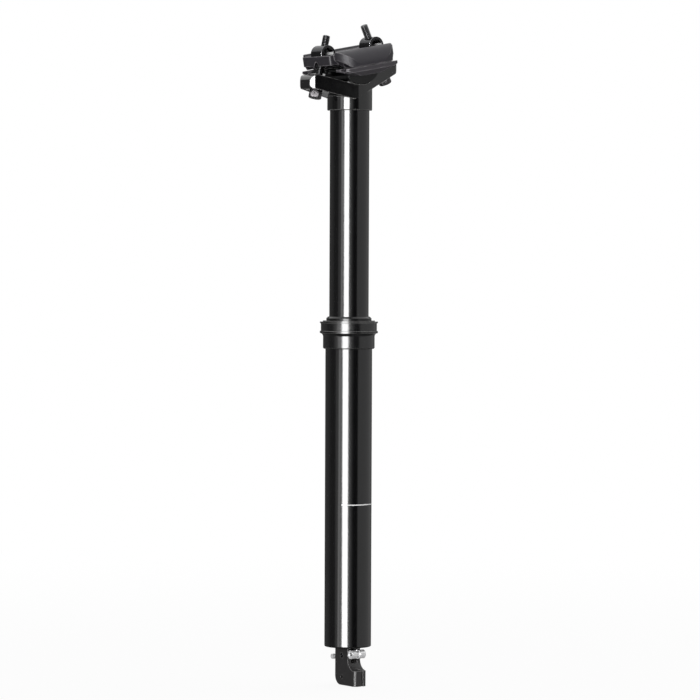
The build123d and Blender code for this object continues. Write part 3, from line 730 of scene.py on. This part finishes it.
@dataclass
class ClampHead:
    """The seat head's frame and the two clamp screws that it carries.

    The head's frame stands at the middle of the saddle rails and leans back by tilt degrees. Each
    screw has a frame of its own at its barrel nut, with Z up the screw and X out along its arm.
    The thread's root, flank, runout and spare are counted in pitches, the socket's rim in halves
    of its flats, and the head's rise in head edges.
    """

    tilt: float = 10.0
    rail_lead: float = 0.3 * MM
    rail_height: float = 186.35 * MM
    screws: tuple[ClampScrew, ...] = (
        ClampScrew(Side.FRONT, 22.9, 24.9 * MM),
        ClampScrew(Side.REAR, 15.2, 22.8 * MM),
    )
    screw_reach: float = 19.6 * MM
    screw_length: float = 37.4 * MM
    nut_lift: float = 10.5 * MM
    thread_radius: float = 2.5 * MM
    thread_pitch: float = 0.8 * MM
    thread_depth: float = 0.43 * MM
    thread_root: float = 0.12
    thread_flank: float = 0.70
    thread_runout: float = 0.8
    thread_spare: int = 2
    thread_point: float = 0.6 * MM
    thread_columns: int = 36
    thread_rows: int = 6
    head_radius: float = 4.25 * MM
    head_height: float = 5.0 * MM
    head_edge: float = 0.6 * MM
    head_inset: float = 0.12 * MM
    head_rise: float = 0.8
    seat_inset: float = 0.3 * MM
    seat_edge: float = 0.35 * MM
    socket_flats: float = 4.0 * MM
    socket_depth: float = 2.6 * MM
    socket_cone: float = 0.5 * MM
    socket_edge: float = 0.35 * MM
    socket_rim: float = 1.22
    knurl_count: int = 40
    knurl_depth: float = 0.14 * MM
    knurl_columns: int = 6

    def frame(self) -> Matrix:
        """The head's own frame in the part's frame."""
        lean = Matrix.Rotation(math.radians(self.tilt), 4, "Y")
        return Matrix.Translation((self.rail_lead, 0.0, self.rail_height)) @ lean

    def nut_frame(self, side: Side) -> Matrix:
        """The head's frame, moved to the middle of one end's barrel nut."""
        reach = side.value * self.screw_reach
        return self.frame() @ Matrix.Translation((reach, 0.0, self.nut_lift))

    def nut_centres(self) -> tuple[Pair, Pair]:
        """Each barrel nut's centre, as its places on X and Z."""
        front, rear = (self.nut_frame(side).translation for side in Side)
        return (front.x, front.z), (rear.x, rear.z)

    def screw_frame(self, screw: ClampScrew) -> Matrix:
        """One screw's own frame in the part's frame.

        Args:
            screw: Which of the two screws.

        Returns:
            The frame.
        """
        turn = Matrix.Rotation(0.0 if screw.side is Side.FRONT else math.pi, 4, "Z")
        lean = Matrix.Rotation(math.radians(-screw.lean), 4, "Y")
        return self.nut_frame(screw.side) @ turn @ lean

    def thread_surface(self, screw: ClampScrew) -> Grid:
        """A screw's thread as a helical grid.

        With u turns round the screw and v pitches up it, a point's height is pitch times (u + v)
        and its radius falls from crest to root and back once for each whole v. Beyond the two ends
        the height is held and the radius runs in to the axis, which closes the surface. The point
        of the screw is cut back by a cone.

        Args:
            screw: Which of the two screws.

        Returns:
            The points and the faces.
        """
        low, high = -screw.grip, self.screw_length - screw.grip
        rows, columns = self.thread_rows, self.thread_columns
        pitches = math.ceil((high - low) / self.thread_pitch) + 2 * self.thread_spare
        row, column = np.meshgrid(np.arange(pitches * rows), np.arange(columns), indexing="ij")
        raw = low + self.thread_pitch * (row / rows + column / columns - self.thread_spare)
        wave = np.abs((row / rows) % 1.0 - 0.5) * 2.0
        crest = np.clip((wave - self.thread_root) / self.thread_flank, 0.0, 1.0)
        radius = self.thread_radius - self.thread_depth * (1.0 - crest)
        cone = self.thread_radius - self.thread_point + np.maximum(high - raw, 0.0)
        past = np.maximum(np.maximum(low - raw, raw - high), 0.0)
        closing = np.clip(1.0 - past / (self.thread_runout * self.thread_pitch), 0.0, 1.0)
        turn = 2.0 * math.pi * column / columns
        points = round_points(turn, np.minimum(radius, cone) * closing, np.clip(raw, low, high))
        return points, ring_faces((pitches - 1) * rows - 1, columns, rows)

    def head_surface(self, screw: ClampScrew) -> Grid:
        """A screw's head: a hexagon socket in a knurled cap.

        The surface joins rings about local Z, each a radius for every turn and a height. The
        socket's radius is half its flats over the cosine of the turn within a sixth, and the cap's
        radius dips by the knurl's depth once for each knurl. The first and last rings have no
        radius, so they close the surface.

        Args:
            screw: Which of the two screws.

        Returns:
            The points and the faces.
        """
        seat = -screw.grip
        foot = seat - self.head_height
        columns = self.knurl_count * self.knurl_columns
        turn = np.linspace(0.0, 2.0 * math.pi, columns, endpoint=False)
        sixth = math.pi / 3.0
        half = self.socket_flats / 2.0
        plain = np.ones(columns)
        hexagon = half / np.cos(turn % sixth - sixth / 2.0)
        dip = 0.5 + 0.5 * np.cos(self.knurl_count * turn)
        knurled = self.head_radius - self.knurl_depth * dip**2
        floor = foot + self.socket_depth
        rings = (
            (0.0 * plain, floor + self.socket_cone),
            (hexagon, floor),
            (hexagon, foot + self.socket_edge),
            (half * self.socket_rim * plain, foot),
            ((self.head_radius - self.head_edge) * plain, foot),
            ((self.head_radius - self.head_inset) * plain, foot + self.head_edge * self.head_rise),
            (knurled, foot + self.head_edge),
            (knurled, foot + self.head_height / 2.0),
            (knurled, seat - self.seat_edge),
            ((self.head_radius - self.seat_inset) * plain, seat),
            (0.0 * plain, seat),
        )
        radius = np.array([ring for ring, _ in rings])
        height = np.array([[level] for _, level in rings])
        return round_points(turn, radius, height), ring_faces(len(rings) - 1, columns)

    def build(self, thread_finish: bpy.types.Material, head_finish: bpy.types.Material) -> None:
        """Make the two threaded screws in place of the plain ones.

        Args:
            thread_finish: The threads' material.
            head_finish: The knurled heads' material.
        """
        for screw in self.screws:
            name = screw.side.name.lower()
            place = self.screw_frame(screw)
            shank = mesh_piece(f"{name}_screw_thread", self.thread_surface(screw), place)
            cap = mesh_piece(f"{name}_screw_head", self.head_surface(screw), place)
            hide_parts(f"{name}_bolt")
            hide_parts(f"{name}_bolt")
            for piece, finish in ((shank, thread_finish), (cap, head_finish)):
                piece.data.materials.append(finish)
                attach(piece, f"{name}_screw")
                LOG.info("made %s with %d faces", piece.name, len(piece.data.polygons))


@dataclass
class OuterTubeLine:
    """The white line on the outer tube that marks how far it must enter the frame.

    Its turns are degrees about the post's axis.
    """

    radius: float = 15.45 * MM
    height: float = -102.37 * MM
    width: float = 0.65 * MM
    stand: float = 0.03 * MM
    start_turn: float = 38.0
    end_turn: float = 218.0
    columns: int = 160

    def surface(self) -> Grid:
        """The printed line as a closed band that stands a hair off the tube.

        The section's four corners, each a radius and a height, are carried from the start to the
        end of the line, and a face closes each end.

        Returns:
            The points and the faces.
        """
        turn = np.radians(np.linspace(self.start_turn, self.end_turn, self.columns))
        inner, outer = self.radius - self.stand, self.radius + self.stand
        bottom, top = self.height - self.width / 2.0, self.height + self.width / 2.0
        radius = np.array((inner, outer, outer, inner))
        points = round_points(turn[:, None], radius, np.array((bottom, bottom, top, top)))
        first = np.arange(len(radius))
        last = len(points) - 1 - first
        sides = ring_faces(self.columns - 1, len(radius))
        return points, np.concatenate([sides, [first, last]])

    def build(self, finish: bpy.types.Material) -> None:
        """Print the line on the tube.

        Args:
            finish: The ink.
        """
        piece = mesh_piece("insertion_line", self.surface(), Matrix.Identity(4))
        piece.data.materials.append(finish)
        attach(piece, "lower_tube")
        LOG.info("made %s with %d faces", piece.name, len(piece.data.polygons))


@dataclass(frozen=True)
class Card:
    """An upright card that only reflections see, from one bearing to another.

    Its level is how bright it is, where 1 is white, and its upper edge is slant degrees further
    right than its lower one.
    """

    name: str
    start: float
    end: float
    level: float
    slant: float = 0.0


@dataclass(frozen=True)
class Lamp:
    """An oblong soft lamp, with its size in metres and its power in watts.

    It hangs at a bearing, a reach from the post's axis and a height, and faces the aimed height
    on the axis.
    """

    name: str
    bearing: float
    reach: float
    height: float
    aimed_height: float
    size: Pair
    power: float


@dataclass
class Studio:
    """Camera, lamps, floor and the cards that a black polished tube mirrors.

    Bearings are degrees in plan from the camera's own bearing, positive to the picture's right.
    The tall key lamp is left of the camera, and a wide weak one hangs overhead. The cards give the
    tubes their grey and black bands.
    """

    bearing: float = 145.0
    elevation: float = 1.8
    distance: float = 2.55
    focal_pixels: float = 3865.0
    sensor_width: float = 36.0
    nearest: float = 0.1
    furthest: float = 50.0
    aim_height: float = -0.9 * MM
    aim_right: float = 0.80 * MM
    roll: float = 0.22
    world_fill: float = 0.35
    lamps: tuple[Lamp, ...] = (
        Lamp("key", -17.0, 3.0, 0.0, 0.0, (1.26, 0.9), 62.0),
        Lamp("overhead", 150.0, 0.6, 2.2, 0.1, (1.6, 1.2), 22.0),
    )
    cards: tuple[Card, ...] = (
        Card("left_rim_card", -176.0, -140.0, 0.10),
        Card("left_back_card", -140.0, -100.0, 0.13),
        Card("left_far_card", -100.0, -66.0, 0.07),
        Card("left_near_card", -66.0, -48.0, 0.32),
        Card("left_line_card", -47.5, -40.5, 1.6, 19.0),
        Card("left_gap_card", -37.0, -29.0, 0.9),
        Card("strip_card", -29.0, -2.0, 14.0),
        Card("strip_edge_card", -2.0, 8.0, 0.6),
        Card("strip_fade_card", 8.0, 14.0, 0.35),
        Card("grey_card", 14.0, 21.0, 0.14),
        Card("black_card", 21.0, 47.0, 0.005),
        Card("right_card", 47.0, 140.0, 0.38),
        Card("right_rim_card", 140.0, 176.0, 0.2),
    )
    card_radius: float = 2.4
    card_height: float = 1.1
    card_columns: int = 33
    floor_card_level: float = 0.08
    floor_colour: Triple = (0.9, 0.9, 0.9)
    floor_white_share: float = 0.93
    floor_fade: Pair = (0.25, 1.1)
    floor_half: float = 8.0
    floor_gap: float = 0.2 * MM

    def outwards(self) -> Vector:
        """The level direction from the post to the camera."""
        turn = math.radians(self.bearing)
        return Vector((math.sin(turn), -math.cos(turn), 0.0))

    def rightwards(self) -> Vector:
        """The level direction to the picture's right."""
        out = self.outwards()
        return Vector((-out.y, out.x, 0.0))

    def set_camera(self) -> None:
        """Stand the camera at the photograph's viewing angle."""
        data = bpy.data.cameras.new("camera")
        data.sensor_width = self.sensor_width
        data.lens = self.focal_pixels / PICTURE_SIDE * data.sensor_width
        data.clip_start = self.nearest
        data.clip_end = self.furthest
        rise = math.radians(self.elevation)
        aim = self.rightwards() * self.aim_right + Vector((0.0, 0.0, self.aim_height))
        away = self.outwards() * math.cos(rise) + Vector((0.0, 0.0, math.sin(rise)))
        back = away.normalized()
        right = self.rightwards()
        turn = Matrix((right, back.cross(right), back)).transposed().to_4x4()
        roll = Matrix.Rotation(math.radians(self.roll), 4, "Z")
        camera = put_in_scene("camera", data)
        camera.matrix_world = Matrix.Translation(aim + away * self.distance) @ turn @ roll
        bpy.context.scene.camera = camera

    def set_world(self) -> None:
        """Make the background white to the eye and to reflections, and a weak fill to all else."""
        world = bpy.data.worlds.new("studio")
        bpy.context.scene.world = world
        graph = NodeGraph(world)
        fill, white = graph.backdrop(self.world_fill), graph.backdrop(1.0)
        graph.show(graph.mix_shaders(graph.seen_directly(), fill, white))

    def hang_lamp(self, lamp: Lamp) -> None:
        """Hang a lamp that reflections don't see.

        Args:
            lamp: The lamp.
        """
        data = bpy.data.lights.new(lamp.name, "AREA")
        data.shape = "RECTANGLE"
        data.size, data.size_y = lamp.size
        data.energy = lamp.power
        turn = math.radians(lamp.bearing)
        level = self.outwards() * math.cos(turn) + self.rightwards() * math.sin(turn)
        place = level * lamp.reach + Vector((0.0, 0.0, lamp.height))
        aimed = Vector((0.0, 0.0, lamp.aimed_height))
        hung = put_in_scene(lamp.name, data)
        hung.location = place
        hung.rotation_euler = (aimed - place).to_track_quat("-Z", "Y").to_euler()
        hung.visible_glossy = False

    def reflected_only(self, name: str, mesh: bpy.types.Mesh, level: float) -> None:
        """Put a glowing mesh in the studio that only glossy rays see.

        Args:
            name: The object's name.
            mesh: Its mesh.
            level: How bright it is.
        """
        graph = NodeGraph(bpy.data.materials.new(f"{name}_glow"))
        graph.show(graph.glow(level))
        mesh.materials.append(graph.owner)
        card = put_in_scene(name, mesh)
        card.visible_camera = False
        card.visible_diffuse = False
        card.visible_shadow = False
        card.visible_transmission = False
        card.visible_volume_scatter = False

    def stand_card(self, card: Card) -> None:
        """Stand a card round the post.

        A point of the card is at the card radius, at a bearing from its start to its end and a
        height from minus to plus the card height.

        Args:
            card: The card.
        """
        out, right = np.array(self.outwards()), np.array(self.rightwards())
        edges = []
        for sign in (-1.0, 1.0):
            bearings = np.linspace(card.start, card.end, self.card_columns)
            turn = np.radians(bearings + sign * card.slant / 2.0)[:, None]
            way = np.cos(turn) * out + np.sin(turn) * right
            edges.append(way * self.card_radius + np.array((0.0, 0.0, sign * self.card_height)))
        lower = np.arange(self.card_columns - 1)
        upper = lower + self.card_columns
        faces = np.stack([lower, lower + 1, upper + 1, upper], axis=-1)
        mesh = bpy.data.meshes.new(card.name)
        mesh.from_pydata(np.concatenate(edges).tolist(), [], faces.tolist())
        self.reflected_only(card.name, mesh, card.level)

    def level_square(self, name: str, half: float, height: float) -> bpy.types.Mesh:
        """A level square about the post's axis.

        Args:
            name: The mesh's name.
            half: Half its side.
            height: Its height above the origin.

        Returns:
            The mesh.
        """
        signs = ((-1, -1), (1, -1), (1, 1), (-1, 1))
        mesh = bpy.data.meshes.new(name)
        mesh.from_pydata([(x * half, y * half, height) for x, y in signs], [], [(0, 1, 2, 3)])
        return mesh

    def lay_floor(self) -> None:
        """Lay the white floor.

        To the eye it is mostly as bright as the background, and the rest of it is lit, so that it
        keeps the shadow. The bright share grows from its value near the post to all of it far away.
        """
        low = min(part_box(n)[0].z for n in ("cable_stop_hook", "release_lever"))
        mesh = self.level_square("floor", self.floor_half, low - self.floor_gap)
        graph = NodeGraph(bpy.data.materials.new("floor_paper"))
        paper = graph.add("ShaderNodeBsdfDiffuse")
        graph.feed(self.floor_colour, paper.inputs["Color"])
        reach = graph.add("ShaderNodeVectorMath", operation="LENGTH")
        graph.feed(graph.add("ShaderNodeTexCoord").outputs["Object"], reach.inputs[0])
        bright = graph.span(
            reach.outputs["Value"], self.floor_fade, (self.floor_white_share, 1.0), "SMOOTHSTEP"
        )
        share = graph.work_out("MULTIPLY", graph.seen_directly(), bright)
        graph.show(graph.mix_shaders(share, paper.outputs["BSDF"], graph.glow(1.0)))
        mesh.materials.append(graph.owner)
        floor = put_in_scene("floor", mesh)
        floor.visible_glossy = False

    def build(self) -> None:
        """Set up the whole studio."""
        bpy.context.scene.view_settings.view_transform = "Standard"
        self.set_camera()
        self.set_world()
        for lamp in self.lamps:
            self.hang_lamp(lamp)
        for card in self.cards:
            self.stand_card(card)
        lid = self.level_square("floor_card", self.card_radius, -self.card_height)
        self.reflected_only("floor_card", lid, self.floor_card_level)
        self.lay_floor()
        LOG.info("studio ready")


@dataclass
class Finishes:
    """Every finish of the post, built once, and which node wears which."""

    nut_centres: tuple[Pair, Pair]

    def build(self) -> dict[str, bpy.types.Material]:
        """Build the materials.

        Returns:
            The materials by short name.
        """
        return {
            "tube": AnodisedFinish().build(),
            "turned": TurnedFinish().build(),
            "forged": ForgedFinish().build(),
            # The pale edge colours below are partly worn and partly painted edge highlights.
            "satin": ForgedFinish(
                "satin_black",
                colour=(0.024, 0.022, 0.027),
                wear_and_highlight=(0.42, 0.40, 0.42),
                roughness=(0.40, 0.50),
                grain_depth=6e-6,
                edge_radius=0.8 * MM,
                index=1.45,
            ).build(),
            "cradle": ForgedFinish(
                "satin_cradle",
                colour=(0.048, 0.044, 0.050),
                wear_and_highlight=(0.55, 0.52, 0.55),
                roughness=(0.36, 0.46),
                grain_depth=6e-6,
                edge_radius=0.8 * MM,
                index=1.5,
                # The darkened middle is painted shade over the cradle's drum.
                painted_shade_half=14.1 * MM,
            ).build(),
            "hook": ForgedFinish(
                "satin_hook",
                colour=(0.017, 0.0158, 0.0162),
                wear_and_highlight=(0.34, 0.33, 0.33),
                roughness=(0.42, 0.5),
                grain_depth=4e-6,
                index=1.7,
            ).build(),
            "oxide": MetalFinish("black_oxide", (0.055, 0.055, 0.058), (0.28, 0.42)).build(),
            "thread": MetalFinish("oxide_thread", (0.11, 0.11, 0.113), (0.2, 0.3)).build(),
            "head": MetalFinish("oxide_head", (0.15, 0.143, 0.148), (0.2, 0.3)).build(),
            "nut": BarrelNutFinish(self.nut_centres).build(),
            "washer": MetalFinish("blued_washer", (0.12, 0.12, 0.125), (0.16, 0.26)).build(),
            "steel": MetalFinish("ground_steel", (0.56, 0.57, 0.58), (0.18, 0.3)).build(),
            "silver": MetalFinish(
                "tumbled_aluminium", (0.9, 0.9, 0.91), (0.16, 0.28), edge_lift=1.05, metallic=0.4
            ).build(),
            "aluminium": MetalFinish(
                "machined_aluminium", (0.78, 0.78, 0.79), (0.25, 0.4), (0.01, 0.01, 1.0)
            ).build(),
            "brass": MetalFinish("machined_brass", (0.72, 0.5, 0.2), (0.22, 0.36)).build(),
            "rubber": MouldedFinish("nitrile_rubber", (0.012, 0.012, 0.012), (0.42, 0.6)).build(),
            "lip": MouldedFinish("polished_lip", (0.008, 0.008, 0.008), (0.16, 0.24)).build(),
            "bearing": MouldedFinish("filled_nylon", (0.03, 0.03, 0.033), (0.45, 0.6)).build(),
            "ink": MouldedFinish("white_ink", (0.8, 0.8, 0.8), (0.35, 0.5)).build(),
        }

    def wearers(self) -> dict[str, tuple[str, ...]]:
        """Which CAD nodes wear each finish.

        Returns:
            The nodes' names by the finish's short name.
        """
        return {
            "tube": ("outer_tube", "stanchion_tube"),
            "turned": ("seal_collar",),
            "forged": ("seat_head",),
            "hook": ("cable_stop_hook",),
            "satin": ("upper_clamp",),
            "cradle": ("lower_cradle",),
            "oxide": (
                "front_bolt",
                "rear_bolt",
                "bracket_screws",
                "lever_pivot_pin",
                "anchor_screw",
            ),
            "nut": ("front_barrel_nut", "rear_barrel_nut"),
            "washer": ("front_bolt_washer", "rear_bolt_washer"),
            "steel": ("cartridge_lock_nut", "rod_nut", "piston_rod", "valve_pin"),
            "silver": ("release_lever", "cable_anchor"),
            "aluminium": (
                "bottom_cap",
                "cartridge_body",
                "cartridge_gland",
                "cartridge_base",
                "rod_plug",
                "piston",
            ),
            "brass": ("guide_keys",),
            "rubber": ("inner_seal", "top_out_bumper", "cap_o_ring", "piston_seal"),
            "lip": ("wiper_seal",),
            "bearing": ("upper_bushing", "lower_guide_ring"),
        }

    def dress(
        self, nodes: dict[str, bpy.types.Object], materials: dict[str, bpy.types.Material]
    ) -> None:
        """Give each CAD node its finish.

        Args:
            nodes: The CAD nodes by name.
            materials: The materials by short name.
        """
        for finish, names in self.wearers().items():
            for name in names:
                slots = nodes[name].data.materials
                slots.clear()
                slots.append(materials[finish])
                LOG.info("dressed %s in %s", name, materials[finish].name)


def main() -> None:
    """Build the scene in order."""
    logging.basicConfig(level=logging.INFO, format="%(name)s: %(message)s")
    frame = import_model()
    head = ClampHead()
    finishes = Finishes(head.nut_centres())
    materials = finishes.build()
    finishes.dress(frame["nodes"], materials)
    head.build(materials["thread"], materials["head"])
    OuterTubeLine().build(materials["ink"])
    Studio().build()
    bpy.context.view_layer.update()


if __name__ == "__main__":
    main()
